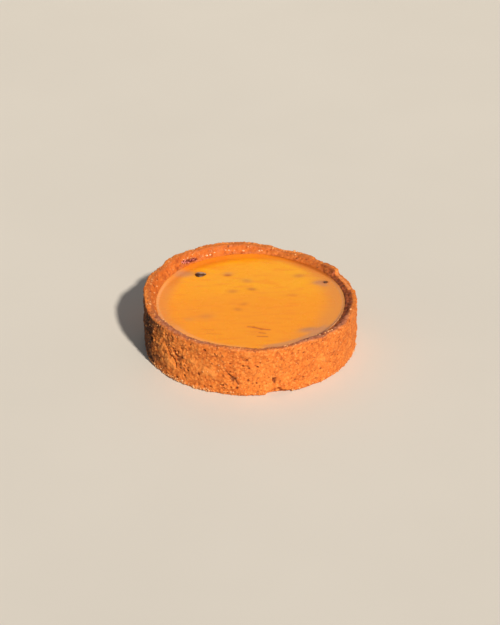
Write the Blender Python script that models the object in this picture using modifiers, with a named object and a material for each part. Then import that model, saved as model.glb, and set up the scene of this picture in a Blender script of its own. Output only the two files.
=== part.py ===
"""A round passion fruit custard tart: a straight-sided shortcrust case filled with set custard.

Metres, +Z up. The origin is the centre of the flat underside. +X is the side where the rim has
its broken stretch, and -Y is the side with the notch in the foot.
"""

import math

import bmesh
import bpy
from mathutils import Vector, noise

MM = 0.001

# Pastry case
CASE_RADIUS = 40.0 * MM
RIM_HEIGHT = 20.1 * MM
RIM_WIDTH = 2.7 * MM
RIM_INNER_ROUNDING = 0.8 * MM
RIM_OUTER_ROUNDING = 0.55 * MM
FOOT_ROUNDING = 0.8 * MM
FLOOR_THICKNESS = 3.5 * MM
CAVITY_TOP_RADIUS = 35.6 * MM
CAVITY_FLOOR_RADIUS = 34.8 * MM
CAVITY_CORNER = 1.6 * MM
CASE_STEPS = 200
WALL_ROWS = 12

# Custard
CUSTARD_LEVEL = 17.2 * MM
MENISCUS_RISE = 0.45 * MM
MENISCUS_WIDTH = 2.4 * MM
MENISCUS_RINGS = 4
FIT_GAP = 0.35 * MM
CUSTARD_STEPS = 120

# The rim line isn't level: (height, waves round the rim, azimuth of a crest in degrees)
RIM_WAVES = (
    (1.60 * MM, 1, 165.0),
    (0.68 * MM, 2, 144.0),
    (0.22 * MM, 5, 100.0),
    (0.17 * MM, 9, 20.0),
    (0.12 * MM, 14, 63.0),
)

# The outline isn't a true circle: (radius, waves round the outline, azimuth of a crest in degrees)
OUTLINE_WAVES = (
    (0.16 * MM, 2, 35.0),
    (0.13 * MM, 3, 80.0),
    (0.08 * MM, 7, 10.0),
)

# Broad rises and dips of the rim: (azimuth and half width in degrees, rise)
RIM_SWELLS = (
    (34.0, 4.0, 0.3 * MM),
    (65.0, 9.0, -0.85 * MM),
    (80.0, 5.0, 0.3 * MM),
    (128.0, 7.0, 0.4 * MM),
    (151.0, 7.0, -0.9 * MM),
    (-98.0, 6.0, 0.2 * MM),
    (-79.0, 8.0, 0.4 * MM),
    (-56.0, 10.0, 0.3 * MM),
    (-30.0, 11.0, -0.6 * MM),
)

# Broken stretches of the rim: (azimuth and half width in degrees, drop, bite into the outside)
RIM_CHIPS = (
    (20.5, 12.0, 1.5 * MM, 1.2 * MM),
    (47.0, 4.0, 0.2 * MM, 0.3 * MM),
    (-37.0, 4.0, 0.2 * MM, 0.3 * MM),
)
CHIP_FLAT_SHARE = 0.75

# The piece missing from the foot, which runs out towards its right end
NOTCH_START, NOTCH_FULL, NOTCH_FADE, NOTCH_END = -83.5, -79.5, -75.0, -62.5
NOTCH_HEIGHT = 2.0 * MM
NOTCH_DEPTH = 1.8 * MM

# Lumps and hollows of the shown side: (azimuth in degrees, height, half width, half height, how proud)
WALL_BUMPS = (
    (-137.5, 6.9 * MM, 2.1 * MM, 2.4 * MM, 1.00 * MM),
    (-145.0, 10.2 * MM, 1.5 * MM, 3.0 * MM, 0.60 * MM),
    (-132.0, 10.0 * MM, 2.2 * MM, 3.2 * MM, -0.50 * MM),
    (-112.5, 9.1 * MM, 3.4 * MM, 2.6 * MM, 0.50 * MM),
    (-121.0, 11.5 * MM, 2.6 * MM, 2.0 * MM, 0.30 * MM),
    (-99.0, 6.8 * MM, 1.8 * MM, 1.8 * MM, -0.40 * MM),
    (-77.5, 6.4 * MM, 1.2 * MM, 1.6 * MM, -0.35 * MM),
    (-50.0, 11.5 * MM, 3.0 * MM, 2.2 * MM, 0.30 * MM),
)

# Crumb of the baked pastry: (depth, size of a crag)
CRUMB_OCTAVES = ((0.34 * MM, 7.0 * MM), (0.30 * MM, 3.4 * MM))

# Seeds that stand out of the custard: (x, y, length, width, thickness, turn in degrees, how proud)
SEEDS = (
    (-19.0, 21.0, 4.6, 3.4, 2.2, 12.0, 0.95),
    (28.4, 14.8, 3.4, 2.4, 1.8, 25.0, 0.55),
    (-8.6, 20.7, 4.0, 3.0, 1.9, 5.0, 0.40),
    (-1.3, 15.7, 4.2, 3.0, 1.9, -20.0, 0.30),
    (0.4, 9.7, 4.4, 2.8, 1.9, -10.0, 0.35),
    (22.3, -20.6, 4.6, 2.8, 1.9, 20.0, 0.35),
    (2.2, -20.0, 5.4, 1.6, 1.4, -30.0, 0.35),
)

PASTRY_COLOUR = (0.62, 0.24, 0.07, 1.0)
CUSTARD_COLOUR = (0.93, 0.38, 0.04, 1.0)


def smooth(value, low, high):
    """0 at low and before, 1 at high and after, with an even turn between them."""
    share = min(1.0, max(0.0, (value - low) / (high - low)))
    return share * share * (3.0 - 2.0 * share)


def turn_between(azimuth, centre):
    """Degrees from centre to azimuth, between -180 and 180."""
    return (azimuth - centre + 180.0) % 360.0 - 180.0


def waves(azimuth, series):
    """Sum of the waves in series at an azimuth in degrees."""
    return sum(size * math.cos(math.radians(count * (azimuth - crest))) for size, count, crest in series)


def chip_share(azimuth, centre, half_width):
    """1 in the middle of a broken stretch of the rim and 0 outside it, with steep ends."""
    return 1.0 - smooth(abs(turn_between(azimuth, centre)), CHIP_FLAT_SHARE * half_width, half_width)


def rim_rise(azimuth):
    """Height of the rim above its mean height."""
    rise = waves(azimuth, RIM_WAVES)
    for centre, half_width, swell in RIM_SWELLS:
        rise += swell * math.exp(-((turn_between(azimuth, centre) / half_width) ** 2))
    return rise - sum(drop * chip_share(azimuth, centre, half) for centre, half, drop, _ in RIM_CHIPS)


def rim_bite(azimuth):
    """How far the broken stretches cut into the outside of the rim."""
    return sum(bite * chip_share(azimuth, centre, half) for centre, half, _, bite in RIM_CHIPS)


def notch_share(azimuth):
    """1 where the notch in the foot is deepest, steep at its left end and drawn out at its right."""
    return smooth(azimuth, NOTCH_START, NOTCH_FULL) * (1.0 - smooth(azimuth, NOTCH_FADE, NOTCH_END))


def bumps(azimuth, height):
    """How far the lumps and hollows move the side outwards at a place."""
    total = 0.0
    for centre, middle, half_width, half_height, proud in WALL_BUMPS:
        along = math.radians(turn_between(azimuth, centre)) * CASE_RADIUS / half_width
        up = (height - middle) / half_height
        total += proud * math.exp(-1.2 * (along * along + up * up))
    return total


def crumb(place):
    """Unevenness of baked pastry at a place, outwards."""
    return sum(depth * noise.noise(place / size) for depth, size in CRUMB_OCTAVES)


def quarter(radius, height, rounding, angles):
    """Points on a rounding about (radius, height), at angles in degrees from outwards."""
    for degrees in angles:
        angle = math.radians(degrees)
        yield radius + rounding * math.cos(angle), height + rounding * math.sin(angle)


def case_profile():
    """(radius, height) from the middle of the cavity's floor, over the rim, to the underside's middle."""
    points = [(0.0, FLOOR_THICKNESS)]
    corner_radius = CAVITY_FLOOR_RADIUS - CAVITY_CORNER
    corner_height = FLOOR_THICKNESS + CAVITY_CORNER
    points.extend(quarter(corner_radius, corner_height, CAVITY_CORNER, (270.0, 315.0, 360.0)))
    points.append((CAVITY_TOP_RADIUS, CUSTARD_LEVEL))

    inner_radius = CASE_RADIUS - RIM_WIDTH + RIM_INNER_ROUNDING
    inner_height = RIM_HEIGHT - RIM_INNER_ROUNDING
    half_way = 0.5 * (CAVITY_TOP_RADIUS + CASE_RADIUS - RIM_WIDTH)
    points.append((half_way, 0.5 * (CUSTARD_LEVEL + inner_height)))
    points.extend(quarter(inner_radius, inner_height, RIM_INNER_ROUNDING, (170.0, 130.0, 90.0)))

    outer_radius = CASE_RADIUS - RIM_OUTER_ROUNDING
    outer_height = RIM_HEIGHT - RIM_OUTER_ROUNDING
    points.extend(quarter(outer_radius, outer_height, RIM_OUTER_ROUNDING, (90.0, 45.0, 0.0)))

    for row in range(1, WALL_ROWS + 1):
        share = row / WALL_ROWS
        points.append((CASE_RADIUS, outer_height + (FOOT_ROUNDING - outer_height) * share))
    foot_radius = CASE_RADIUS - FOOT_ROUNDING
    points.extend(quarter(foot_radius, FOOT_ROUNDING, FOOT_ROUNDING, (315.0, 270.0)))
    points.append((0.0, 0.0))
    return points


def shaped(radius, height, azimuth):
    """Where a point of the turned case ends up, as its own radius and height."""
    angle = math.radians(azimuth)
    place = Vector((CASE_RADIUS * math.cos(angle), CASE_RADIUS * math.sin(angle), height))
    outer = smooth(radius, CASE_RADIUS - RIM_WIDTH, CASE_RADIUS - 0.4 * RIM_WIDTH)
    above_custard = smooth(height, CUSTARD_LEVEL, RIM_HEIGHT)
    above_foot = max(0.0, height - FOOT_ROUNDING) / (RIM_HEIGHT - FOOT_ROUNDING)

    rise = rim_rise(azimuth) + crumb(place + Vector((0.0, 0.0, RIM_HEIGHT)))
    new_height = height + rise * (outer * above_foot + (1.0 - outer) * above_custard)
    if height > CUSTARD_LEVEL:
        new_height = max(new_height, CUSTARD_LEVEL + 0.15 * (height - CUSTARD_LEVEL))

    outwards = waves(azimuth, OUTLINE_WAVES) + crumb(place) + bumps(azimuth, height)
    outwards -= rim_bite(azimuth) * smooth(height, RIM_HEIGHT - 3.0 * MM, RIM_HEIGHT)
    notch = notch_share(azimuth)
    if height < NOTCH_HEIGHT * notch:
        outwards -= NOTCH_DEPTH * notch
    inwards = crumb(place * 1.3) * above_custard
    return radius + outwards * outer + inwards * (1.0 - outer), new_height


def turned(name, points, steps, collection):
    """A closed solid of revolution about +Z from a profile at +X, as a mesh object."""
    mesh = bpy.data.meshes.new(name + "_profile")
    edges = [(index, index + 1) for index in range(len(points) - 1)]
    mesh.from_pydata([(radius, 0.0, height) for radius, height in points], edges, [])
    profile = bpy.data.objects.new(name + "_profile", mesh)
    collection.objects.link(profile)

    screw = profile.modifiers.new("Turn", "SCREW")
    screw.axis = "Z"
    screw.angle = math.tau
    screw.steps = screw.render_steps = steps
    screw.use_merge_vertices = True
    screw.merge_threshold = 1e-5

    graph = bpy.context.evaluated_depsgraph_get()
    solid = bpy.data.objects.new(name, bpy.data.meshes.new_from_object(profile.evaluated_get(graph)))
    solid.data.name = name
    collection.objects.link(solid)
    bpy.data.objects.remove(profile)
    return solid


def triangulate(obj):
    """Splits every face into triangles, so that what is built is what is seen."""
    cage = bmesh.new()
    cage.from_mesh(obj.data)
    bmesh.ops.triangulate(cage, faces=cage.faces)
    cage.to_mesh(obj.data)
    cage.free()


def finish(obj, colour, roughness, sharp_degrees):
    """Gives an object its material and smooth shading."""
    material = bpy.data.materials.new(obj.name)
    material.use_nodes = True
    shader = material.node_tree.nodes["Principled BSDF"]
    shader.inputs["Base Color"].default_value = colour
    shader.inputs["Roughness"].default_value = roughness
    shader.inputs["Metallic"].default_value = 0.0
    obj.data.materials.append(material)
    obj.data.shade_smooth()
    obj.data.set_sharp_from_angle(angle=math.radians(sharp_degrees))


def pastry_case(collection):
    """The case: floor, wall and rim in one piece, with the crags, chips and notch of baked pastry."""
    case = turned("pastry_case", case_profile(), CASE_STEPS, collection)
    for vertex in case.data.vertices:
        radius = math.hypot(vertex.co.x, vertex.co.y)
        if radius < CAVITY_TOP_RADIUS:
            continue
        angle = math.atan2(vertex.co.y, vertex.co.x)
        new_radius, new_height = shaped(radius, vertex.co.z, math.degrees(angle))
        vertex.co = (new_radius * math.cos(angle), new_radius * math.sin(angle), new_height)
    triangulate(case)
    finish(case, PASTRY_COLOUR, 0.85, 50.0)
    return case


def custard_profile():
    """(radius, height) from the middle of the custard's top, out to its edge and back underneath."""
    edge = CAVITY_TOP_RADIUS - FIT_GAP
    points = [(0.0, CUSTARD_LEVEL - MENISCUS_RISE)]
    for ring in range(MENISCUS_RINGS + 1):
        share = ring / MENISCUS_RINGS
        climb = MENISCUS_RISE * share * share
        points.append((edge - MENISCUS_WIDTH * (1.0 - share), CUSTARD_LEVEL - MENISCUS_RISE + climb))

    corner_radius = CAVITY_FLOOR_RADIUS - CAVITY_CORNER
    corner_height = FLOOR_THICKNESS + CAVITY_CORNER
    points.extend(quarter(corner_radius, corner_height, CAVITY_CORNER - FIT_GAP, (360.0, 315.0, 270.0)))
    points.append((0.0, FLOOR_THICKNESS + FIT_GAP))
    return points


def seed(index, place, collection):
    """One seed: a flattened egg that stands proud of the custard by the height given."""
    x, y, length, width, thickness, turn, proud = place
    bpy.ops.mesh.primitive_ico_sphere_add(subdivisions=2, radius=0.5)
    grain = bpy.context.object
    grain.name = f"seed_{index}"
    surface = (CUSTARD_LEVEL - MENISCUS_RISE) / MM
    grain.scale = (length * MM, width * MM, thickness * MM)
    grain.rotation_euler = (0.0, 0.0, math.radians(turn))
    grain.location = (x * MM, y * MM, (surface + proud - 0.5 * thickness) * MM)
    for owner in grain.users_collection:
        owner.objects.unlink(grain)
    collection.objects.link(grain)
    return grain


def custard(collection, seed_collection):
    """The set custard, with the seeds that break its surface joined to it."""
    filling = turned("custard_filling", custard_profile(), CUSTARD_STEPS, collection)
    for index, place in enumerate(SEEDS):
        seed(index, place, seed_collection)

    union = filling.modifiers.new("Seeds", "BOOLEAN")
    union.operation = "UNION"
    union.operand_type = "COLLECTION"
    union.collection = seed_collection
    union.solver = "EXACT"
    graph = bpy.context.evaluated_depsgraph_get()
    joined = bpy.data.meshes.new_from_object(filling.evaluated_get(graph))
    filling.modifiers.clear()
    filling.data = joined
    for grain in list(seed_collection.objects):
        bpy.data.objects.remove(grain)
    bpy.data.collections.remove(seed_collection)

    triangulate(filling)
    finish(filling, CUSTARD_COLOUR, 0.3, 40.0)
    return filling


def new_collection(name):
    """A collection under the scene's own."""
    collection = bpy.data.collections.new(name)
    bpy.context.scene.collection.children.link(collection)
    return collection


def main():
    for obj in list(bpy.data.objects):
        bpy.data.objects.remove(obj)
    tart = new_collection("custard_tart")
    pastry_case(tart)
    custard(tart, new_collection("seeds"))


main()
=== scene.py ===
"""Dress of the custard tart: crumbly shortcrust case, glossy custard, fruit seeds and clinging crumbs.

Metres, +Z up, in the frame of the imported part. Angles of places on the case are azimuths in degrees
from +X, and the camera stands on the -Y side.
"""

import math
import random

import bpy
import numpy as np
from mathutils import Matrix, Vector, noise


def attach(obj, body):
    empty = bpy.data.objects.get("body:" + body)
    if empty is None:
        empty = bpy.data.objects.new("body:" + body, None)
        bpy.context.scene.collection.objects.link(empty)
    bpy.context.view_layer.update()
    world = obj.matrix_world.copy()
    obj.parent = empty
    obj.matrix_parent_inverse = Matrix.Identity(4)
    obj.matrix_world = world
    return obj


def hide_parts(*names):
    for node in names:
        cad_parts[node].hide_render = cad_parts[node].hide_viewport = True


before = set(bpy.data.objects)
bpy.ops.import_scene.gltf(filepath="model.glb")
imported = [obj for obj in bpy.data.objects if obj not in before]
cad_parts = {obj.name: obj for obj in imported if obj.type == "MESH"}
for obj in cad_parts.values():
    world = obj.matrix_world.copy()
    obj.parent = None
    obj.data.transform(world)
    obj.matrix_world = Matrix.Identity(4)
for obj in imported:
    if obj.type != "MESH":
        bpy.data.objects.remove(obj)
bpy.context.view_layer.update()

MM = 0.001

# Numbers that give each cell of a pattern its own draw
CELL_DRAW_TURNS = (12.99, 78.23, 37.72)
CELL_DRAW_SCALE = 4375.85

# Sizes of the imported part
CASE_RADIUS = 40.0 * MM
RIM_HEIGHT = 20.1 * MM
RIM_WIDTH = 2.7 * MM
RIM_INNER_ROUNDING = 0.8 * MM
RIM_OUTER_ROUNDING = 0.55 * MM
FOOT_ROUNDING = 0.8 * MM
FLOOR_THICKNESS = 3.5 * MM
CAVITY_TOP_RADIUS = 35.6 * MM
CAVITY_FLOOR_RADIUS = 34.8 * MM
CAVITY_CORNER = 1.6 * MM
CUSTARD_LEVEL = 17.2 * MM
MENISCUS_RISE = 0.45 * MM
MENISCUS_WIDTH = 2.4 * MM
UNDERSIDE_RADII = (0.0, 18.0 * MM, 31.0 * MM, 36.5 * MM, 38.2 * MM)
BELOW_CUSTARD = (35.5 * MM, 16.4 * MM)

# Points round the case, and the step between its rows
AROUND = 860
ROW_STEP = 0.28 * MM

# Waves: (size, number round the case, azimuth of a crest)
RIM_WAVES = (
    (1.6 * MM, 1, 165.0),
    (0.68 * MM, 2, 144.0),
    (0.22 * MM, 5, 100.0),
    (0.17 * MM, 9, 20.0),
    (0.12 * MM, 14, 63.0),
)
OUTLINE_WAVES = (
    (0.16 * MM, 2, 35.0),
    (0.13 * MM, 3, 80.0),
    (0.08 * MM, 7, 10.0),
)

# Broad rises and dips of the rim: (azimuth and half width in degrees, rise in mm)
RIM_SWELLS = (
    (34.0, 4.0, 0.3), (65.0, 9.0, -0.85), (80.0, 5.0, 0.3),
    (128.0, 7.0, 0.4), (151.0, 7.0, -0.9), (-98.0, 6.0, 0.2),
    (-79.0, 8.0, 0.4), (-56.0, 10.0, 0.3), (-30.0, 11.0, -0.6),
)

# Broken stretches of the rim: (azimuth and half width in degrees, drop and bite into the outside in mm)
RIM_CHIPS = (
    (20.5, 12.0, 1.5, 1.2),
    (47.0, 4.0, 0.2, 0.3),
    (-37.0, 4.0, 0.2, 0.3),
)
CHIP_FLAT_SHARE = 0.75
BITE_HEIGHT = 3.0 * MM

# The rim keeps at least this share of its height above the custard
LEAST_RIM_SHARE = 0.15

# The notch in the foot: where it starts, is full, fades and ends
NOTCH_SPAN = (-83.5, -79.5, -75.0, -62.5)
NOTCH_HEIGHT = 2.0 * MM
NOTCH_DEPTH = 1.8 * MM
NOTCH_EDGE = 0.15 * MM
ARCH_AZIMUTH, ARCH_HALF_WIDTH = -74.7, 1.2
ARCH_HEIGHT = 0.9 * MM

# Lumps and hollows of the side: (azimuth, height, half width, half height, how proud), in degrees and mm
WALL_BUMPS = (
    (-138.0, 6.9, 2.9, 2.4, 0.7),
    (-145.0, 10.2, 1.6, 3.0, 0.5),
    (-132.0, 10.6, 2.4, 3.2, -0.25),
    (-112.5, 9.1, 3.4, 2.6, 0.5),
    (-121.0, 11.5, 2.6, 2.0, 0.3),
    (-99.0, 6.8, 1.8, 1.8, -0.4),
    (-77.5, 6.4, 1.2, 1.6, -0.35),
    (-50.0, 11.5, 3.0, 2.2, 0.3),
)
BUMP_FALL = 1.2

# Coarse crumb: (depth, size)
CRUMB_OCTAVES = ((0.34 * MM, 7.0 * MM), (0.3 * MM, 3.4 * MM))
INNER_CRUMB_SCALE = 1.3

# Single large pores of the side: (azimuth, height, half width, half height, depth), in degrees and mm
PORES = (
    (-78.2, 6.9, 0.3, 0.75, 0.9), (-77.2, 5.7, 0.32, 0.34, 0.8), (-105.2, 4.2, 0.6, 0.45, 0.9),
    (-104.0, 3.1, 0.42, 0.35, 0.7), (-100.2, 3.7, 0.5, 0.36, 0.8), (-97.2, 3.6, 0.42, 0.42, 0.8),
    (-100.8, 10.3, 0.55, 0.3, 0.5), (-100.8, 13.6, 0.42, 0.35, 0.4), (-93.8, 13.0, 0.6, 0.38, 0.6),
    (-92.1, 15.6, 0.55, 0.42, 0.6), (-86.2, 13.0, 0.45, 0.42, 0.7), (-85.0, 14.8, 0.35, 0.35, 0.4),
    (-86.8, 5.5, 0.38, 0.35, 0.5), (-80.0, 17.6, 0.38, 0.5, 0.4), (-74.0, 15.4, 0.4, 0.35, 0.4),
    (-65.5, 4.8, 0.5, 0.38, 0.6), (-60.8, 15.7, 0.5, 0.35, 0.5), (-42.2, 15.0, 0.4, 0.6, 0.4),
    (-115.0, 17.7, 0.6, 0.4, 0.7), (-118.8, 6.9, 0.5, 0.5, 0.6), (-123.5, 18.1, 0.45, 0.5, 0.6),
    (-127.8, 3.8, 0.42, 0.55, 0.6), (-132.8, 2.0, 0.42, 0.42, 0.6), (-131.4, 12.4, 0.3, 0.34, 0.4),
    (-129.6, 11.3, 0.28, 0.3, 0.3), (-129.8, 8.6, 0.28, 0.34, 0.3), (-133.6, 11.9, 0.3, 0.34, 0.5),
    (-135.2, 13.6, 0.3, 0.36, 0.5), (-128.4, 9.9, 0.3, 0.3, 0.4),
)

# Cracks of the side: (azimuths of both ends, heights of both, half width, depth), in degrees and mm
CRACKS = (
    (-139.5, -137.0, 12.8, 10.3, 0.2, 0.5),
    (-137.0, -134.6, 10.3, 9.3, 0.24, 0.7),
    (-134.6, -133.4, 9.3, 7.7, 0.24, 0.8),
    (-133.4, -133.0, 7.7, 6.2, 0.2, 0.6),
    (-104.2, -101.5, 11.3, 9.2, 0.2, 0.3),
    (-101.5, -98.2, 9.2, 7.2, 0.25, 0.7),
    (-98.2, -96.7, 7.2, 5.1, 0.2, 0.4),
)

# How far the edges of pores, cracks, specks and notch stray, and how steep pores and cracks are
RAGGED_DEPTH, RAGGED_SIZE = 0.35 * MM, 1.1 * MM
PORE_STRAY, CRACK_STRAY = 0.8, 0.55
PORE_SLOPE, CRACK_SLOPE = (0.35, 1.25), (0.2, 1.4)

# Craggier and smoother stretches of the side: (azimuth, height, half width, half height, how much rougher)
ROUGH_PATCHES = (
    (-131.8, 11.3, 2.8, 3.0, 0.7),
    (-152.0, 13.5, 8.0, 6.0, 1.2),
    (-160.0, 7.0, 9.0, 6.0, 0.9),
    (-138.0, 17.0, 7.0, 2.5, 0.5),
    (-100.0, 4.5, 5.0, 2.0, 0.4),
    (-138.0, 6.9, 2.2, 2.2, -0.8),
    (-112.5, 9.1, 3.4, 2.4, -0.5),
    (-60.0, 11.0, 14.0, 5.0, -0.25),
    (-25.0, 10.0, 14.0, 9.0, -0.3),
    (120.0, 9.0, 9.0, 6.0, 0.4),
)

# Fine relief: rounded grains, random pores with radii in mm, and crags (depth, size, shift)
GRAIN_SIZE, GRAIN_DEPTH, GRAIN_MIDDLE = 1.25 * MM, 0.36 * MM, 0.62
PORE_SPACING, PORE_DEPTH, PORE_DRAWS = 2.3 * MM, 0.5 * MM, (0.34, 0.56)
PORE_LEAST, PORE_SPREAD = 0.22, 0.42
CRAG_OCTAVES = ((0.22 * MM, 1.6 * MM, 5.1), (0.18 * MM, 0.75 * MM, 9.3))
DEEP_RELIEF = 0.5 * MM

# The dark red patch inside the back of the rim: it climbs by so much for each degree
SCORCH_AZIMUTH, SCORCH_HALF_WIDTH = 130.0, 6.2
SCORCH_HEIGHT, SCORCH_HALF_HEIGHT = 18.36 * MM, 0.42 * MM
SCORCH_CLIMB = 0.036 * MM

# Dark specks of the rim: (azimuth, radius, half width), in degrees and mm
RIM_SPECKS = (
    (-46.5, 38.2, 0.6), (-43.5, 38.1, 0.55), (-40.0, 38.3, 0.45), (-71.0, 38.3, 0.5),
    (-68.0, 38.4, 0.42), (-56.5, 38.2, 0.5), (-33.5, 37.8, 0.5), (-21.5, 37.3, 0.5),
    (-88.0, 38.6, 0.36), (-154.0, 38.7, 0.5), (-157.5, 39.1, 0.36), (-171.0, 38.8, 0.42),
    (-179.5, 37.7, 0.45), (170.5, 37.0, 0.45), (162.0, 37.0, 0.55), (153.5, 38.6, 0.5),
    (103.0, 37.4, 0.42), (67.0, 37.0, 0.45), (59.5, 36.2, 0.38), (54.0, 37.2, 0.5),
    (43.5, 36.0, 0.45), (40.0, 37.5, 0.5), (31.0, 36.1, 0.42),
)

# Dusky stretches of the rim's top, brown with a pinkish painted sky sheen: (azimuth, half width of the full
# part, half width in all, how dusky)
DUSKY_SHEEN_STRETCHES = (
    (-44.0, 16.0, 36.0, 1.0),
    (-132.0, 16.0, 34.0, 0.85),
    (-88.0, 10.0, 28.0, 0.4),
)

# The stretch inside the rim at the right, browned and darkened further as painted shade, and the painted
# shade of the side at the left, which faces away from the key light
BROWNED_SHADE_AZIMUTH, BROWNED_SHADE_FULL, BROWNED_SHADE_END = 3.0, 20.0, 48.0
SHADED_SIDE_AZIMUTH, SHADED_SIDE_FULL, SHADED_SIDE_END = -172.0, 13.0, 29.0
SHADED_SIDE_STRAY = 18.0

# Seeds that break the surface: (x, y, length, width, thickness, turn in degrees, how proud, how bare)
OPEN_SEEDS = (
    (-19.0, 20.8, 4.7, 3.7, 2.4, 14.0, 0.98, 0.0),
    (28.9, 14.6, 2.5, 2.0, 1.6, 25.0, 0.48, 0.6),
)

# Seeds just under the skin: (x, y, half length, half width, turn, how dark, how milky, rise), in mm
SUNK_SEEDS = (
    (-8.6, 20.2, 1.8, 0.9, 0.0, 0.62, 0.1, 0.12),
    (-8.4, 21.9, 1.9, 1.2, 0.0, 0.12, 0.5, 0.0),
    (-1.3, 15.9, 2.4, 1.7, -20.0, 0.32, 0.35, 0.1),
    (0.5, 9.6, 2.1, 1.2, -10.0, 0.5, 0.2, 0.1),
    (-6.7, 7.9, 2.2, 1.5, 10.0, 0.36, 0.2, 0.05),
    (-2.4, -1.5, 2.0, 1.3, 25.0, 0.32, 0.0, 0.04),
    (-4.7, -5.5, 2.1, 1.4, -15.0, 0.36, 0.1, 0.04),
    (16.1, 5.0, 2.6, 1.4, 0.0, 0.24, 0.1, 0.04),
    (18.6, 19.7, 2.6, 1.8, 0.0, 0.36, 0.3, 0.04),
    (26.6, 14.4, 2.6, 1.5, 5.0, 0.2, 1.0, 0.14),
    (28.4, 12.4, 1.5, 1.0, 0.0, 0.1, 0.5, 0.0),
    (21.8, -20.6, 3.4, 1.6, 12.0, 0.16, 1.0, 0.16),
    (-25.4, 21.4, 4.0, 2.1, 8.0, 0.04, 1.0, 0.1),
    (-16.4, -10.6, 3.6, 2.6, 12.0, 0.22, 0.3, 0.04),
    (-23.0, -12.5, 2.4, 1.6, 0.0, 0.1, 0.3, 0.0),
    (3.0, -21.5, 4.6, 3.6, 0.0, 0.12, 0.1, 0.0),
)

# Wrinkles of the skin: (x, y of one end, then of the other, half width, depth, in mm)
WRINKLES = (
    (-0.9, -17.9, 1.2, -18.4, 0.5, 0.04),
    (1.2, -18.4, 4.0, -19.8, 0.45, 0.05),
    (4.0, -19.8, 7.2, -20.3, 0.45, 0.045),
    (3.4, -22.3, 5.4, -22.9, 0.5, 0.035),
    (2.6, -24.9, 6.2, -25.2, 0.45, 0.04),
    (-18.0, -19.6, -13.6, -20.4, 0.4, 0.02),
    (-16.0, -22.8, -10.6, -23.4, 0.4, 0.02),
)
DARKEST_WRINKLE = 0.05

# Stretches of the custard's edge: where they start, are full, fade and end
HIGH_BACK_SPAN = (62.0, 88.0, 135.0, 172.0)
STAIN_SPAN = (12.0, 30.0, 66.0, 84.0)

# Painted sheen and shade near the rim: azimuth, half width of the full part and in all, radii in mm from
# start to whole
RIGHT_SHEEN = (-8.0, 30.0, 66.0, 25.0, 33.0)
LEFT_SHEEN = (180.0, 28.0, 50.0, 28.0, 34.5)
FRONT_RIGHT_SHADE_SHEEN = (-57.0, 18.0, 32.0, 30.6, 32.8)
FRONT_LEFT_HIGHLIGHT = (-122.0, 18.0, 34.0, 31.2, 32.6)

# Single grains on the rim: (azimuth, radius, size), all in degrees and mm
RIM_GRAINS = (
    (64.5, 39.8, 0.62), (62.5, 37.8, 0.52), (76.5, 38.2, 0.62), (91.3, 37.3, 0.42),
    (114.0, 37.3, 0.34), (127.0, 37.3, 0.36), (108.0, 39.2, 0.36), (105.8, 39.0, 0.32),
    (99.5, 39.3, 0.34), (119.5, 39.2, 0.32), (84.0, 39.0, 0.3), (70.5, 38.9, 0.34),
    (145.0, 36.4, 0.5), (-166.5, 38.6, 0.55), (173.0, 37.8, 0.44), (-148.3, 39.6, 0.4),
    (-14.4, 38.7, 0.46), (-19.6, 39.1, 0.44), (-71.0, 38.0, 0.34), (-69.9, 38.9, 0.32),
    (-48.3, 38.2, 0.34), (-44.8, 38.7, 0.34), (-42.8, 38.7, 0.36), (-41.0, 38.6, 0.34),
    (-38.6, 38.5, 0.32),
)

# Single grains on the side at the left: (azimuth, height, size), all in degrees and mm
SIDE_GRAINS = (
    (-165.0, 13.0, 0.42), (-157.0, 16.5, 0.44), (-152.0, 15.4, 0.4), (-158.5, 11.3, 0.34),
    (-146.5, 11.1, 0.38), (-142.8, 8.1, 0.44), (-138.0, 14.2, 0.34), (-154.8, 8.1, 0.28),
    (-148.5, 19.4, 0.34), (-161.0, 6.5, 0.26),
)

# Beads of juice on the inside of the rim, pale as painted glints: (azimuth, radius, half width in mm)
JUICE_GLINT_BEADS = (
    (117.5, 36.5, 0.42), (115.0, 36.5, 0.36), (112.0, 36.5, 0.26), (105.0, 36.7, 0.26),
    (103.0, 36.8, 0.28), (94.3, 36.4, 0.42), (84.5, 36.6, 0.36), (83.0, 36.7, 0.24),
    (134.5, 36.8, 0.22), (131.0, 36.7, 0.24), (128.6, 36.8, 0.18), (99.5, 36.7, 0.2),
)

BEAD_LENGTH_SHARE, BEAD_HEIGHT_SHARE = 1.3, 0.8

# Crumbs scattered at random: (part of the case, how many, least and largest size in mm)
CRUMB_SCATTER = (
    ("foot", 520, 0.14, 0.42),
    ("left foot", 110, 0.2, 0.5),
    ("side", 300, 0.12, 0.28),
    ("rim", 210, 0.12, 0.34),
)
CRUMB_SEED = 11
CRUMB_RAGGEDNESS = 0.35
LEFT_FOOT_START, LEFT_FOOT_END = -160.0, -112.0

# The custard's mesh
CUSTARD_AROUND = 460
CUSTARD_RINGS = 112
CUSTARD_OVERLAP = 0.12 * MM
CUSTARD_SKIN = 2.0 * MM
CUSTARD_UNDERSIDE_RADII = (0.0, 30.0 * MM, 35.0 * MM)

# Colours of the crust
DEEP_GOLD, GOLD, PALE_GOLD = (0.58, 0.134, 0.017), (0.74, 0.196, 0.026), (0.8, 0.228, 0.034)
LIGHT_GRAIN, DARK_GRAIN = (0.92, 0.35, 0.08), (0.32, 0.06, 0.01)
# Painted highlight on raised crumb and painted shade in the pores
PAINTED_CRUMB_HIGHLIGHT, PAINTED_PORE_SHADE = (0.98, 0.36, 0.075), (0.17, 0.034, 0.008)
# Painted shade of the side at the left
PAINTED_SHADE_BLACK = (0.03, 0.01, 0.005)
BAKED, BAKED_BLOT = (0.58, 0.142, 0.018), (0.3, 0.05, 0.01)
RIM_BROWN = (0.38, 0.105, 0.032)
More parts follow.
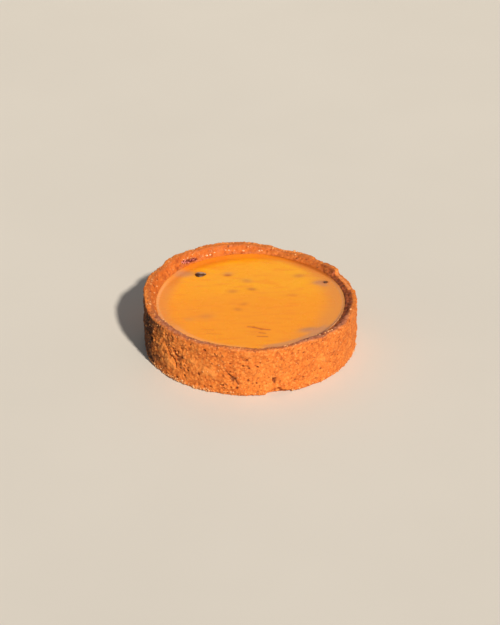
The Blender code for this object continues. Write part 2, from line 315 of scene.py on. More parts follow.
# Dusky rim top, with a pinkish painted sky sheen
DUSK, DUSK_SHEEN = (0.27, 0.08, 0.045), (0.46, 0.185, 0.12)
# Browned inside the rim at the right, darkened further as painted shade
SHADED_DARK_BROWN, SHADED_PALE_BROWN = (0.1, 0.019, 0.008), (0.36, 0.08, 0.026)
BROKEN_CRUST, SPECK_BROWN = (0.9, 0.33, 0.12), (0.16, 0.035, 0.012)
CHARRED, CHARRED_GLINT = (0.11, 0.008, 0.01), (0.7, 0.23, 0.21)

# Colours of the custard, and its painted reflection, sheen, highlights and shade and its real marks: (stored
# number, where a mark is whole, share, colour)
CUSTARD_YELLOW, SUNLIT_CUSTARD = (0.955, 0.33, 0.004), (0.98, 0.425, 0.003)
DULL_CUSTARD, CUSTARD_STREAK = (0.96, 0.325, 0.007), (0.88, 0.255, 0.008)
CUSTARD_LAYERS = (
    # The first layer is a painted reflection of the case's inner wall in the custard near the back
    ("wall_reflection", 0.9, (0.72, 0.18, 0.012)),
    # pale: painted sky sheen at the right and the left
    ("pale", 0.85, (0.76, 0.275, 0.045)),
    ("stain", 0.7, (0.36, 0.07, 0.008)),
    # edge: painted highlights and sheen along the rim
    ("edge", 0.8, (0.86, 0.42, 0.21)),
)
CUSTARD_MARKS = (
    # milky: a real film over the seeds, and at the front right painted shadow of the rim with sheen
    ("milky", 1.0, 0.72, (0.53, 0.245, 0.13)),
    ("dark", 0.8, 0.9, (0.4, 0.055, 0.016)),
    # crease: painted shade in the wrinkles
    ("crease_shade", 1.0, 0.85, (0.5, 0.09, 0.006)),
)

# Colours of the small pieces and the floor
SEED_BLACK, SEED_BROWN, SEED_FILM_SHEEN = (0.05, 0.016, 0.006), (0.13, 0.042, 0.01), (0.5, 0.35, 0.27)
# Juice, pale as painted glints
JUICE, JUICE_GLINT = (0.92, 0.46, 0.22), (0.96, 0.62, 0.38)
CRUMB_GOLD, PALE_CRUMB = (0.64, 0.25, 0.07), (0.84, 0.44, 0.19)
FLOOR_GREY, PALE_FLOOR_GREY = (0.69, 0.675, 0.65), (0.71, 0.695, 0.67)

# Floor, surround and lights: (name, kind, azimuth, elevation, distance, energy, colour, size)
FLOOR_HALF = 3.0
FLOOR_DROP = 0.05 * MM
SURROUND_COLOUR, SURROUND_STRENGTH = (0.92, 0.95, 1.0), 0.16
LIGHTS = (
    ("key", "SUN", -62.0, 40.0, 1.5, 4.1, (1.0, 0.89, 0.74), 4.0),
    ("back_softbox", "AREA", 90.0, 35.0, 1.2, 1.0, (1.0, 0.88, 0.6), 0.9),
)

# The camera of the photograph
CAMERA_DISTANCE, CAMERA_ELEVATION, CAMERA_ROLL = 0.95, 31.18, -0.23
CAMERA_TARGET = Vector((-0.14, 5.44, 8.98)) * MM
CAMERA_LENS, SENSOR_HEIGHT = 143.79, 36.0


def smooth(value, low, high):
    """0 at low and before, 1 at high and after, with an even turn between them."""
    share = np.clip((value - low) / (high - low), 0.0, 1.0)
    return share * share * (3.0 - 2.0 * share)


def turn_between(azimuth, centre):
    """Degrees from centre to azimuth, between -180 and 180."""
    return (azimuth - centre + 180.0) % 360.0 - 180.0


def stretch(azimuth, centre, full, end):
    """1 within full degrees of the centre, 0 from end degrees on, with an even turn between them."""
    return 1.0 - smooth(np.abs(turn_between(azimuth, centre)), full, end)


def span(azimuth, start, full, fade, end):
    """0 outside start and end, 1 between full and fade, with even turns between them."""
    return smooth(azimuth, start, full) * (1.0 - smooth(azimuth, fade, end))


def waves(azimuth, series):
    """Sum of the waves in series at azimuths in degrees."""
    return sum(size * np.cos(np.radians(count * (azimuth - crest))) for size, count, crest in series)


def perlin(points, size, shift=0.0):
    """Smooth noise at an array of points, about -1 to 1, with crags of the given size."""
    places = (points / size + shift).reshape(-1, 3).tolist()
    return np.array([noise.noise(place) for place in places]).reshape(points.shape[:-1])


def cells(points, size, shift=0.0):
    """Distance to the middle of the nearest cell, and that cell's own draw from 0 to 1."""
    found = [noise.voronoi(place) for place in (points / size + shift).reshape(-1, 3).tolist()]
    middle = np.array([list(near[1][0]) for near in found])
    draw = np.modf(np.abs(np.sin(middle @ np.array(CELL_DRAW_TURNS))) * CELL_DRAW_SCALE)[0]
    away = np.array([near[0][0] for near in found]) * size
    return away.reshape(points.shape[:-1]), draw.reshape(points.shape[:-1])


def metres(lengths):
    """Lengths in mm as metres."""
    return [length * MM for length in lengths]


def segment_distance(across, up, start, end):
    """Distance from points to a straight line between two ends, in the plane of across and up."""
    start, end = np.array(start), np.array(end)
    run = end - start
    along = ((across - start[0]) * run[0] + (up - start[1]) * run[1]) / (run @ run)
    along = np.clip(along, 0.0, 1.0)
    return np.hypot(across - start[0] - along * run[0], up - start[1] - along * run[1])


def arc(radius, height, rounding, first, last, count):
    """Points on a rounding about (radius, height), at angles in degrees from outwards."""
    angle = np.radians(np.linspace(first, last, count))
    return list(zip(radius + rounding * np.cos(angle), height + rounding * np.sin(angle)))


def straight(start, end, step):
    """Points on a straight line from start to end, both left out."""
    count = max(1, round(math.dist(start, end) / step))
    return [tuple(a + (b - a) * k / count for a, b in zip(start, end)) for k in range(1, count)]


def turned(radius, angle, height):
    """Points at these radii and heights, at angles in radians round the axis."""
    return np.stack([radius * np.cos(angle), radius * np.sin(angle), height], axis=-1)


def mesh_object(name, places, faces):
    """An object at the origin with a smooth mesh of these points and faces."""
    mesh = bpy.data.meshes.new(name)
    mesh.from_pydata(places.tolist(), [], faces)
    mesh.shade_smooth()
    obj = bpy.data.objects.new(name, mesh)
    bpy.context.scene.collection.objects.link(obj)
    return obj


def revolved(name, rings):
    """A skin through rings of points (ring x around x 3). The first and the last ring are one point each."""
    count, around = rings.shape[:2]
    places = [rings[0, :1], *rings[1:-1], rings[-1, :1]]
    starts = [0] + [1 + around * k for k in range(count - 1)]
    faces = []
    for k in range(count - 1):
        low, high = starts[k], starts[k + 1]
        for j in range(around):
            after = (j + 1) % around
            if k == 0:
                faces.append((low, high + after, high + j))
            elif k == count - 2:
                faces.append((low + j, low + after, high))
            else:
                faces.append((low + j, low + after, high + after, high + j))
    return mesh_object(name, np.concatenate(places), faces)


def joined(name, parts):
    """One object of several closed pieces, each given as its points and its faces."""
    places = []
    faces = []
    for points, part_faces in parts:
        start = len(places)
        places += [tuple(point) for point in points]
        faces += [tuple(start + corner for corner in face) for face in part_faces]
    return mesh_object(name, np.array(places), faces)


def paint(obj, name, values):
    """Stores a number for each point of a mesh, for its material to read."""
    layer = obj.data.attributes.new(name, "FLOAT", "POINT")
    layer.data.foreach_set("value", np.ascontiguousarray(values, dtype=np.float32))


def paint_rings(obj, marks):
    """Paints a revolved mesh with named arrays (ring x around)."""
    for name, rings in marks.items():
        paint(obj, name, np.concatenate([rings[0, :1], rings[1:-1].ravel(), rings[-1, :1]]))


# Shape of the case


def case_profile():
    """(radius, height) from the middle of the underside up the side, over the rim and down to the floor."""
    foot = CASE_RADIUS - FOOT_ROUNDING
    inner = CASE_RADIUS - RIM_WIDTH + RIM_INNER_ROUNDING
    outer = CASE_RADIUS - RIM_OUTER_ROUNDING
    inner_height = RIM_HEIGHT - RIM_INNER_ROUNDING
    outer_height = RIM_HEIGHT - RIM_OUTER_ROUNDING
    lip = arc(inner, inner_height, RIM_INNER_ROUNDING, 90.0, 170.0, 5)
    shoulder = arc(outer, outer_height, RIM_OUTER_ROUNDING, 0.0, 90.0, 4)
    points = [(radius, 0.0) for radius in UNDERSIDE_RADII]
    points += arc(foot, FOOT_ROUNDING, FOOT_ROUNDING, 270.0, 360.0, 5)
    points += straight(points[-1], shoulder[0], ROW_STEP)
    points += shoulder
    points += straight(points[-1], lip[0], ROW_STEP)
    points += lip
    points += straight(points[-1], (CAVITY_TOP_RADIUS, CUSTARD_LEVEL), ROW_STEP)
    points += [(CAVITY_TOP_RADIUS, CUSTARD_LEVEL), BELOW_CUSTARD]
    points += [(CAVITY_FLOOR_RADIUS, FLOOR_THICKNESS + CAVITY_CORNER)]
    points += [(CAVITY_FLOOR_RADIUS - CAVITY_CORNER, FLOOR_THICKNESS), (0.0, FLOOR_THICKNESS)]
    return np.array(points)


def rim_movement(azimuth):
    """How far the rim rises round the case, and how far its broken stretches are bitten into."""
    rise = waves(azimuth, RIM_WAVES)
    for centre, half_width, swell in RIM_SWELLS:
        rise += swell * MM * np.exp(-((turn_between(azimuth, centre) / half_width) ** 2))
    bite = np.zeros_like(azimuth)
    for centre, half_width, drop, cut in RIM_CHIPS:
        share = stretch(azimuth, centre, CHIP_FLAT_SHARE * half_width, half_width)
        rise -= drop * MM * share
        bite += cut * MM * share
    return rise, bite


def coarse_crumb(points):
    """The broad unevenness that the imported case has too."""
    return sum(depth * perlin(points, size) for depth, size in CRUMB_OCTAVES)


def round_patches(azimuth, height, rows, fall, unit):
    """Sum of patches of the side that fade out round their middles. Unit is what their strength is in."""
    total = np.zeros_like(height)
    for centre, *lengths, strength in rows:
        middle, half_width, half_height = metres(lengths)
        along = np.radians(turn_between(azimuth, centre)) * CASE_RADIUS / half_width
        total += strength * unit * np.exp(-fall * (along**2 + ((height - middle) / half_height) ** 2))
    return total


def wall_features(azimuth, height, ragged):
    """How far the lumps, pores and cracks move the side outwards. Ragged is how far their edges stray."""
    total = round_patches(azimuth, height, WALL_BUMPS, BUMP_FALL, MM)
    for centre, *lengths in PORES:
        middle, half_width, half_height, depth = metres(lengths)
        along = np.radians(turn_between(azimuth, centre)) * CASE_RADIUS / half_width
        away = np.hypot(along, (height - middle) / half_height) + PORE_STRAY * ragged / half_width
        total -= depth * (1.0 - smooth(away, *PORE_SLOPE))
    floor_share, edge_share = CRACK_SLOPE
    for first, last, *lengths in CRACKS:
        first_height, last_height, half_width, depth = metres(lengths)
        across = np.radians(turn_between(azimuth, first)) * CASE_RADIUS
        end = math.radians(turn_between(last, first)) * CASE_RADIUS
        away = segment_distance(across, height, (0.0, first_height), (end, last_height))
        away += CRACK_STRAY * ragged
        total -= depth * (1.0 - smooth(away, floor_share * half_width, edge_share * half_width))
    return total


def notch_bite(azimuth, height, ragged):
    """How far the notch in the foot, with its arch, moves the side inwards."""
    notch = span(azimuth, *NOTCH_SPAN)
    arch = ARCH_HEIGHT * np.exp(-((turn_between(azimuth, ARCH_AZIMUTH) / ARCH_HALF_WIDTH) ** 4))
    reach = NOTCH_HEIGHT * notch + arch
    inside = smooth(reach + ragged - height, -NOTCH_EDGE, NOTCH_EDGE) * (reach > NOTCH_EDGE)
    return NOTCH_DEPTH * notch * inside


def grain(points):
    """Fine relief of baked crumb: rounded grains with pores between them."""
    near, _ = cells(points, GRAIN_SIZE)
    rounded = GRAIN_DEPTH * (GRAIN_MIDDLE - near / GRAIN_SIZE)
    pore_near, draw = cells(points, PORE_SPACING, 31.7)
    pore_size = (PORE_LEAST + PORE_SPREAD * draw) * MM
    pore = 1.0 - smooth(pore_near, 0.35 * pore_size, pore_size)
    pores = -PORE_DEPTH * pore * smooth(draw, *PORE_DRAWS)
    return rounded + pores + sum(depth * perlin(points, size, shift) for depth, size, shift in CRAG_OCTAVES)


def grain_strength(radius, height, outer, crags, far):
    """How strong the fine relief is on the side, on the inner slope and, a little weaker, on the rim."""
    inside = (1.0 - outer) * smooth(radius, CAVITY_TOP_RADIUS - 0.1 * MM, CAVITY_TOP_RADIUS + 0.4 * MM)
    side = outer * smooth(height, 0.05 * MM, 0.6 * MM) * (1.0 + crags)
    level_top = smooth(height, RIM_HEIGHT - 0.5 * MM, RIM_HEIGHT - 0.05 * MM)
    return np.maximum(side, (0.75 + 0.35 * far) * inside) * (1.0 - (0.28 - 0.05 * far) * level_top)


def scorch_mark(azimuth, height):
    """The dark red patch inside the back of the rim."""
    along = turn_between(azimuth, SCORCH_AZIMUTH)
    up = (height - SCORCH_CLIMB * along - SCORCH_HEIGHT) / SCORCH_HALF_HEIGHT
    return smooth(np.exp(-((along / SCORCH_HALF_WIDTH) ** 4) - up**2), 0.2, 0.65)


def dusky_sheen_mark(azimuth, radius):
    """The dusky stretches of the rim's top, with their pinkish painted sky sheen, which fade out at its
    outer edge.
    """
    dusky = np.zeros_like(radius)
    for centre, full, end, share in DUSKY_SHEEN_STRETCHES:
        dusky = np.maximum(dusky, share * stretch(azimuth, centre, full, end))
    return dusky * (1.0 - smooth(radius, CASE_RADIUS - 0.4 * RIM_WIDTH, CASE_RADIUS + 0.15 * RIM_WIDTH))


def speck_mark(azimuth, radius, height, profile, ragged):
    """The dark specks of the rim, round as measured on its skin."""
    specks = np.zeros_like(radius)
    for centre, *lengths in RIM_SPECKS:
        middle, half_width = metres(lengths)
        row = np.argmin(np.abs(profile[:, 0] - middle) + (profile[:, 1] < CUSTARD_LEVEL))
        along = np.radians(turn_between(azimuth, centre)) * middle
        across = np.hypot(radius - profile[row, 0], height - profile[row, 1])
        away = np.hypot(along, across) + 0.7 * ragged
        specks = np.maximum(specks, 1.0 - smooth(away, 0.4 * half_width, 1.2 * half_width))
    return specks


def build_case():
    """The case as one fine skin, with the places that are browned or moist, and where painted shade and
    highlights go, noted for its material.
    """
    profile = case_profile()
    turn = np.linspace(-180.0, 180.0, AROUND, endpoint=False)
    radius, azimuth = np.meshgrid(profile[:, 0], turn, indexing="ij")
    height = np.repeat(profile[:, 1:2], AROUND, axis=1)
    angle = np.radians(azimuth)
    skin = turned(CASE_RADIUS, angle, height)
    outer = smooth(radius, CASE_RADIUS - RIM_WIDTH, CASE_RADIUS - 0.4 * RIM_WIDTH)
    above_custard = smooth(height, CUSTARD_LEVEL, RIM_HEIGHT)
    above_foot = np.maximum(0.0, height - FOOT_ROUNDING) / (RIM_HEIGHT - FOOT_ROUNDING)

    # The rim rises and falls, but stays above the custard
    rise, bite = rim_movement(turn)
    rise = rise + coarse_crumb(skin + np.array((0.0, 0.0, RIM_HEIGHT)))
    new_height = height + rise * (outer * above_foot + (1.0 - outer) * above_custard)
    low = CUSTARD_LEVEL + LEAST_RIM_SHARE * (height - CUSTARD_LEVEL)
    new_height = np.where(height > CUSTARD_LEVEL, np.maximum(new_height, low), new_height)

    # The side moves in and out
    ragged = RAGGED_DEPTH * perlin(skin, RAGGED_SIZE, 3.3)
    features = wall_features(azimuth, height, ragged)
    outwards = waves(turn, OUTLINE_WAVES) + coarse_crumb(skin) + features
    outwards = outwards - bite * smooth(height, RIM_HEIGHT - BITE_HEIGHT, RIM_HEIGHT)
    outwards = outwards - notch_bite(turn, height, ragged)
    inwards = coarse_crumb(skin * INNER_CRUMB_SCALE) * above_custard
    new_radius = radius + outwards * outer + inwards * (1.0 - outer)

    # Fine relief stands along the profile's own normal
    tangent = np.gradient(profile, axis=0)
    tangent /= np.linalg.norm(tangent, axis=1)[:, None] + 1e-12
    out_normal, up_normal = tangent[:, 1], -tangent[:, 0]
    crags = round_patches(azimuth, height, ROUGH_PATCHES, 1.0, 1.0)
    far = smooth(np.sin(angle), -0.4, 0.15)
    fine = grain(turned(new_radius, angle, new_height))
    fine = fine * grain_strength(radius, height, outer, crags, far)
    new_radius = new_radius + fine * out_normal[:, None]
    new_height = np.maximum(new_height + fine * up_normal[:, None], 0.0)
    case = revolved("crust", turned(new_radius, angle, new_height))

    relief = fine + (np.minimum(features, 0.0) + 0.8 * np.maximum(features, 0.0)) * outer
    inner_slope = smooth(height, CUSTARD_LEVEL - 0.5 * MM, CUSTARD_LEVEL) * (1.0 - outer)
    top = smooth(height, RIM_HEIGHT - 0.9 * MM, RIM_HEIGHT - 0.1 * MM)
    inner_top = top * (1.0 - smooth(radius, CASE_RADIUS - 0.75 * RIM_WIDTH, CASE_RADIUS - 0.45 * RIM_WIDTH))
    outer_edge = smooth(radius, CASE_RADIUS - 1.0 * MM, CASE_RADIUS - 0.5 * MM)
    # Inside the rim at the right, facing away from the key light: browned, and darkened further as painted
    # shade
    browned_and_shaded = stretch(azimuth, BROWNED_SHADE_AZIMUTH, BROWNED_SHADE_FULL, BROWNED_SHADE_END)
    # Painted shade on the side at the left, away from the key light, with a wandering edge
    from_shaded_side = np.abs(turn_between(azimuth, SHADED_SIDE_AZIMUTH))
    from_shaded_side += SHADED_SIDE_STRAY * perlin(skin, 5.0 * MM, 8.8)
    painted_side_shade = 1.0 - smooth(from_shaded_side, SHADED_SIDE_FULL, SHADED_SIDE_END)
    specks = speck_mark(azimuth, radius, height, profile, ragged)
    marks = {
        # How deep or proud the relief is, read for painted shade in its hollows and painted highlights on
        # its lumps
        "depth": np.clip(-relief / DEEP_RELIEF, -1.0, 1.0),
        "crags": np.clip(crags, -1.0, 1.0) * outer,
        "inner": inner_slope,
        "top": top,
        "scorch": scorch_mark(azimuth, height) * (1.0 - outer),
        "inner_top": inner_top,
        "dusky": dusky_sheen_mark(azimuth, radius) * top,
        "specks": specks * np.maximum(inner_slope, top),
        "browned_and_shaded": browned_and_shaded * np.maximum(inner_slope, inner_top),
        "painted_side_shade": painted_side_shade * outer * (1.0 - top),
        "far": far,
        "broken": bite / bite.max() * top * outer_edge,
    }
    paint_rings(case, marks)
    return case


# Shape of the custard


def over_seeds(x, y, level):
    """The level raised over the seeds, and how dark and how milky the custard is there. x and y in mm."""
    dark = np.zeros_like(x)
    milky = np.zeros_like(x)
    for place_x, place_y, half_length, half_width, lean, darkness, milkiness, swelling in SUNK_SEEDS:
        cosine, sine = math.cos(math.radians(lean)), math.sin(math.radians(lean))
        dx, dy = x - place_x, y - place_y
        away = ((dx * cosine + dy * sine) / half_length) ** 2 + ((dy * cosine - dx * sine) / half_width) ** 2
        dark += darkness * np.exp(-0.9 * away)
        milky += milkiness * np.exp(-0.7 * away)
        level = level + swelling * MM * np.exp(-0.8 * away)
    for place_x, place_y, length, width, _, _, proud, _ in OPEN_SEEDS:
        away = np.hypot((x - place_x) / length, (y - place_y) / width)
        level = level + 0.45 * proud * MM * np.exp(-4.0 * away**2)
        dark += 0.55 * np.exp(-3.6 * away**2)
    return level, dark, milky


def along_wrinkles(x, y, level):
    """The level pressed in along the wrinkles, and how far each point lies in one, for the painted shade
    there. x and y in mm.
    """
    crease_shade = np.zeros_like(x)
    for first_x, first_y, last_x, last_y, half_width, depth in WRINKLES:
        away = segment_distance(x, y, (first_x, first_y), (last_x, last_y))
        fold = np.exp(-((away / half_width) ** 2))
        level = level - depth * MM * fold
        level = level + 0.5 * depth * MM * np.exp(-(((away - 2.2 * half_width) / half_width) ** 2))
        # How dark the painted shade in the wrinkle is
        crease_shade += fold * depth / DARKEST_WRINKLE
    return level, crease_shade


def painted_sheen(turn, out, centre, full, end, start, whole):
    """A stretch of painted sheen along the rim that starts at one radius in mm and is whole at the next."""
    return stretch(turn, centre, full, end) * smooth(out, start, whole)


def build_custard():
    """The custard's skin, with the seeds below it noted for its material."""
    edge = CAVITY_TOP_RADIUS + CUSTARD_OVERLAP
    around = np.linspace(-math.pi, math.pi, CUSTARD_AROUND, endpoint=False)
    top = edge * np.linspace(0.0, 1.0, CUSTARD_RINGS + 1) ** 0.85
    radius = np.concatenate([CUSTARD_UNDERSIDE_RADII, top[:0:-1], [0.0]])
    radius, angle = np.meshgrid(radius, around, indexing="ij")
    x, y = radius * np.cos(angle), radius * np.sin(angle)
    places = turned(radius, angle, np.zeros_like(radius))
    out, turn = radius / MM, np.degrees(angle)

    # The meniscus climbs the case, and a little higher in front and at the back
    climb = smooth(radius, edge - MENISCUS_WIDTH, edge) ** 2
    at_front = smooth(-np.sin(angle), 0.05, 0.55)
    raised = np.maximum(span(turn, *HIGH_BACK_SPAN), at_front)
    widening = 1.0 + 0.3 * MM / edge * raised * climb
    x, y = x * widening, y * widening
    cling = (0.16 * MM * perlin(places, 4.0 * MM, 2.2) + 0.5 * MM * raised) * climb
    swell = 0.05 * MM * perlin(places, 14.0 * MM, 7.7)
    level = CUSTARD_LEVEL - MENISCUS_RISE * (1.0 - climb * climb) + cling + swell * (1.0 - climb)
    level, dark, milky = over_seeds(x / MM, y / MM, level)
    level, crease_shade = along_wrinkles(x / MM, y / MM, level)
    level[: len(CUSTARD_UNDERSIDE_RADII)] = CUSTARD_LEVEL - CUSTARD_SKIN
    custard = revolved("custard", np.stack([x, y, level], axis=-1))

    wander = 1.2 * perlin(places, 9.0 * MM, 4.4)
    stain = smooth(out + 0.5 * wander, 34.2, 35.4) * span(turn, *STAIN_SPAN)
    at_sides = 1.0 - smooth(np.abs(np.sin(angle)), 0.25, 0.6)
    # Painted highlights along the custard's edge at the sides and the front left, and a painted sheen where
    # the meniscus climbs in front
    painted_edge_highlight = 0.6 * np.exp(-(((radius - edge) / MM + 0.75) / 0.46) ** 2) * at_sides
    painted_front_left_highlight = 0.4 * painted_sheen(turn, out + 0.2 * wander, *FRONT_LEFT_HIGHLIGHT)
    painted_front_edge_sheen = smooth(climb, 0.03, 0.35) * at_front
    marks = {
        "dark": dark,
        "crease_shade": crease_shade,
        # Pale painted sky sheen on the custard at the right and the left
        "pale": painted_sheen(turn, out + wander, *RIGHT_SHEEN) + painted_sheen(turn, out + wander, *LEFT_SHEEN),
        # Milky over the sunk seeds, and at the front right the painted shadow of the rim with a painted sky
        # sheen
        "milky": milky + 0.85 * painted_sheen(turn, out + 0.4 * wander, *FRONT_RIGHT_SHADE_SHEEN),
        # Painted sunlight: the custard is lighter towards the back
        "back": smooth(y / MM, -4.0, 20.0),
        # Painted reflection of the inner wall in the custard near the back
        "wall_reflection": smooth(out + wander, 30.5, 35.0) * smooth(np.sin(angle), 0.05, 0.55),
        "stain": stain,
        "edge": np.maximum(np.maximum(painted_edge_highlight, painted_front_left_highlight), painted_front_edge_sheen),
    }
    paint_rings(custard, marks)
    return custard


# Small pieces


def egg(half_length, half_width, half_height, taper, around, along, pitting, shift):
    """Points and faces of a closed egg about the origin, its thin end along +X."""
    points = []
    faces = []
    for i in range(along + 1):
        bow = math.pi * i / along
        for j in range(around):
            angle = math.tau * j / around
            slim = 1.0 - taper * math.cos(bow)
            unit = Vector((math.cos(bow), math.sin(bow) * math.cos(angle), math.sin(bow) * math.sin(angle)))
            dent = 1.0 + pitting * noise.noise(unit * 3.1 + Vector((shift, 0.0, 0.0)))
            local = (half_length * unit.x, half_width * slim * unit.y, half_height * slim * unit.z)
            points.append(Vector(local) * dent)
    for i in range(along):
        for j in range(around):
            after = (j + 1) % around
            low, high = i * around, (i + 1) * around
            faces.append((low + j, high + j, high + after, low + after))
    return points, faces


def build_seeds():
    """The seeds that break the custard's skin: flattened, pointed at one end, faintly pitted."""
    parts = []
    sheen_shares = []
    for index, (x, y, length, width, thickness, turn, proud, bare) in enumerate(OPEN_SEEDS):
        centre = Vector((x, y, (CUSTARD_LEVEL - MENISCUS_RISE) / MM + proud - 0.5 * thickness))
        spin = Matrix.Rotation(math.radians(turn), 3, "Z")
        half_sizes = (0.5 * length, 0.5 * width, 0.5 * thickness)
        points, faces = egg(*half_sizes, taper=0.22, around=28, along=20, pitting=0.05, shift=7.0 * index)
        parts.append(([(centre + spin @ point) * MM for point in points], faces))
        # Share of the painted sheen on the top and back of each seed, over its coat of custard
        for along, across, up in points:
            sheen_shares.append(2.0 * up / thickness + 2.4 * across / width + 0.7 * along / length - bare)
    seeds = joined("seeds", parts)
    paint(seeds, "painted_sheen", np.array(sheen_shares))
    return seeds


def crumb_shape():
    """Points and faces of a small ball to be made ragged."""
    golden = (1.0 + 5.0**0.5) / 2.0
    pairs = [(-1, golden), (1, golden), (-1, -golden), (1, -golden)]
    corners = [(a, b, 0) for a, b in pairs] + [(0, a, b) for a, b in pairs] + [(b, 0, a) for a, b in pairs]
    faces = [
        (0, 11, 5), (0, 5, 1), (0, 1, 7), (0, 7, 10), (0, 10, 11),
        (1, 5, 9), (5, 11, 4), (11, 10, 2), (10, 7, 6), (7, 1, 8),
        (3, 9, 4), (3, 4, 2), (3, 2, 6), (3, 6, 8), (3, 8, 9),
        (4, 9, 5), (2, 4, 11), (6, 2, 10), (8, 6, 7), (9, 8, 1),
    ]
    points = [Vector(corner).normalized() for corner in corners]
    middle = {}
    finer = []
    for face in faces:
        cut = []
        for k in range(3):
            pair = tuple(sorted((face[k], face[(k + 1) % 3])))
            if pair not in middle:
                middle[pair] = len(points)
                points.append(((points[pair[0]] + points[pair[1]]) / 2.0).normalized())
            cut.append(middle[pair])
        a, b, c = face
        finer += [(a, cut[0], cut[2]), (b, cut[1], cut[0]), (c, cut[2], cut[1]), tuple(cut)]
    return points, finer


def nearest_on_rim(coordinates, azimuth, radius):
    """The point of the case's rim or inner slope that is nearest to an azimuth and a radius in mm."""
    angle = math.radians(azimuth)
    aim = np.array((math.cos(angle), math.sin(angle))) * radius * MM
    away = np.hypot(coordinates[:, 0] - aim[0], coordinates[:, 1] - aim[1])
    away[coordinates[:, 2] < CUSTARD_LEVEL + 0.4 * MM] = 1.0
    return Vector(coordinates[int(np.argmin(away))])


def nearest_on_side(coordinates, azimuth, height):
    """The point of the case's side that is nearest to an azimuth and a height in mm."""
    angle = math.radians(azimuth)
    aim = np.array((math.cos(angle) * CASE_RADIUS, math.sin(angle) * CASE_RADIUS, height * MM))
    return Vector(coordinates[int(np.argmin(np.linalg.norm(coordinates - aim, axis=1)))])


def mesh_points(obj):
    """The points of a mesh as an array."""
    coordinates = np.empty(len(obj.data.vertices) * 3)
    obj.data.vertices.foreach_get("co", coordinates)
    return coordinates.reshape(-1, 3)


def crumb_spots(coordinates):
    """The numbers of the case's points that scattered crumbs may cling to, for each part of the case."""
    height = coordinates[:, 2]
    radius = np.hypot(coordinates[:, 0], coordinates[:, 1])
    azimuth = np.degrees(np.arctan2(coordinates[:, 1], coordinates[:, 0]))
    foot = (height < 1.5 * MM) & (radius > CASE_RADIUS - 1.2 * MM)
    left = (azimuth > LEFT_FOOT_START) & (azimuth < LEFT_FOOT_END)
    side = (height > 1.3 * MM) & (radius > CASE_RADIUS - 1.0 * MM)
    rim = (height > CUSTARD_LEVEL + 0.8 * MM) & (radius < CASE_RADIUS - 0.2 * MM)
    away_from_browned_shade = np.abs(turn_between(azimuth, BROWNED_SHADE_AZIMUTH)) > BROWNED_SHADE_END
    chosen = {"foot": foot, "left foot": foot & left, "side": side, "rim": rim & away_from_browned_shade}
    return {name: np.flatnonzero(wanted) for name, wanted in chosen.items()}


def build_crumbs(case):
    """Crumbs that cling to the foot, the side and the rim of the case."""
    draw = random.Random(CRUMB_SEED)
    ball, ball_faces = crumb_shape()
    coordinates = mesh_points(case)
    spots = crumb_spots(coordinates)
    wanted = [(nearest_on_rim(coordinates, turn, out), size * MM) for turn, out, size in RIM_GRAINS]
    wanted += [(nearest_on_side(coordinates, turn, up), size * MM) for turn, up, size in SIDE_GRAINS]
    for name, number, least, most in CRUMB_SCATTER:
        for _ in range(number):
            at = Vector(coordinates[spots[name][draw.randrange(len(spots[name]))]])
            wanted.append((at, (least + (most - least) * draw.random() ** 2) * MM))

    parts = []
    for at, size in wanted:
        squash = Vector((draw.uniform(0.7, 1.3), draw.uniform(0.7, 1.3), draw.uniform(0.6, 1.0)))
        turn = draw.uniform(0.0, math.tau)
        spin = Matrix.Rotation(turn, 3, Vector((draw.gauss(0, 1), draw.gauss(0, 1), 1.0)))
        shift = Vector((draw.uniform(0, 50), 0.0, 0.0))
        at.z = max(at.z, 0.55 * size)
        points = []
        for point in ball:
            ragged = 1.0 + CRUMB_RAGGEDNESS * noise.noise(point * 1.6 + shift)
            place = at + spin @ (point * squash) * size * ragged
            points.append((place.x, place.y, max(place.z, 0.0)))
        parts.append((points, ball_faces))
    return joined("crumbs", parts)


def build_glint_beads(case):
    """Small beads of juice that have run onto the inside of the rim, made pale as painted glints."""
    coordinates = mesh_points(case)
    parts = []
    for index, (turn, out, half_width) in enumerate(JUICE_GLINT_BEADS):
        at = nearest_on_rim(coordinates, turn, out)
        spin = Matrix.Rotation(math.radians(turn + 90.0), 3, "Z")
        half_sizes = (BEAD_LENGTH_SHARE * half_width, half_width, BEAD_HEIGHT_SHARE * half_width)
        points, faces = egg(*half_sizes, taper=0.15, around=18, along=12, pitting=0.1, shift=3.0 * index)
        parts.append(([at + (spin @ point) * MM for point in points], faces))
    return joined("juice_glint_beads", parts)


# Materials


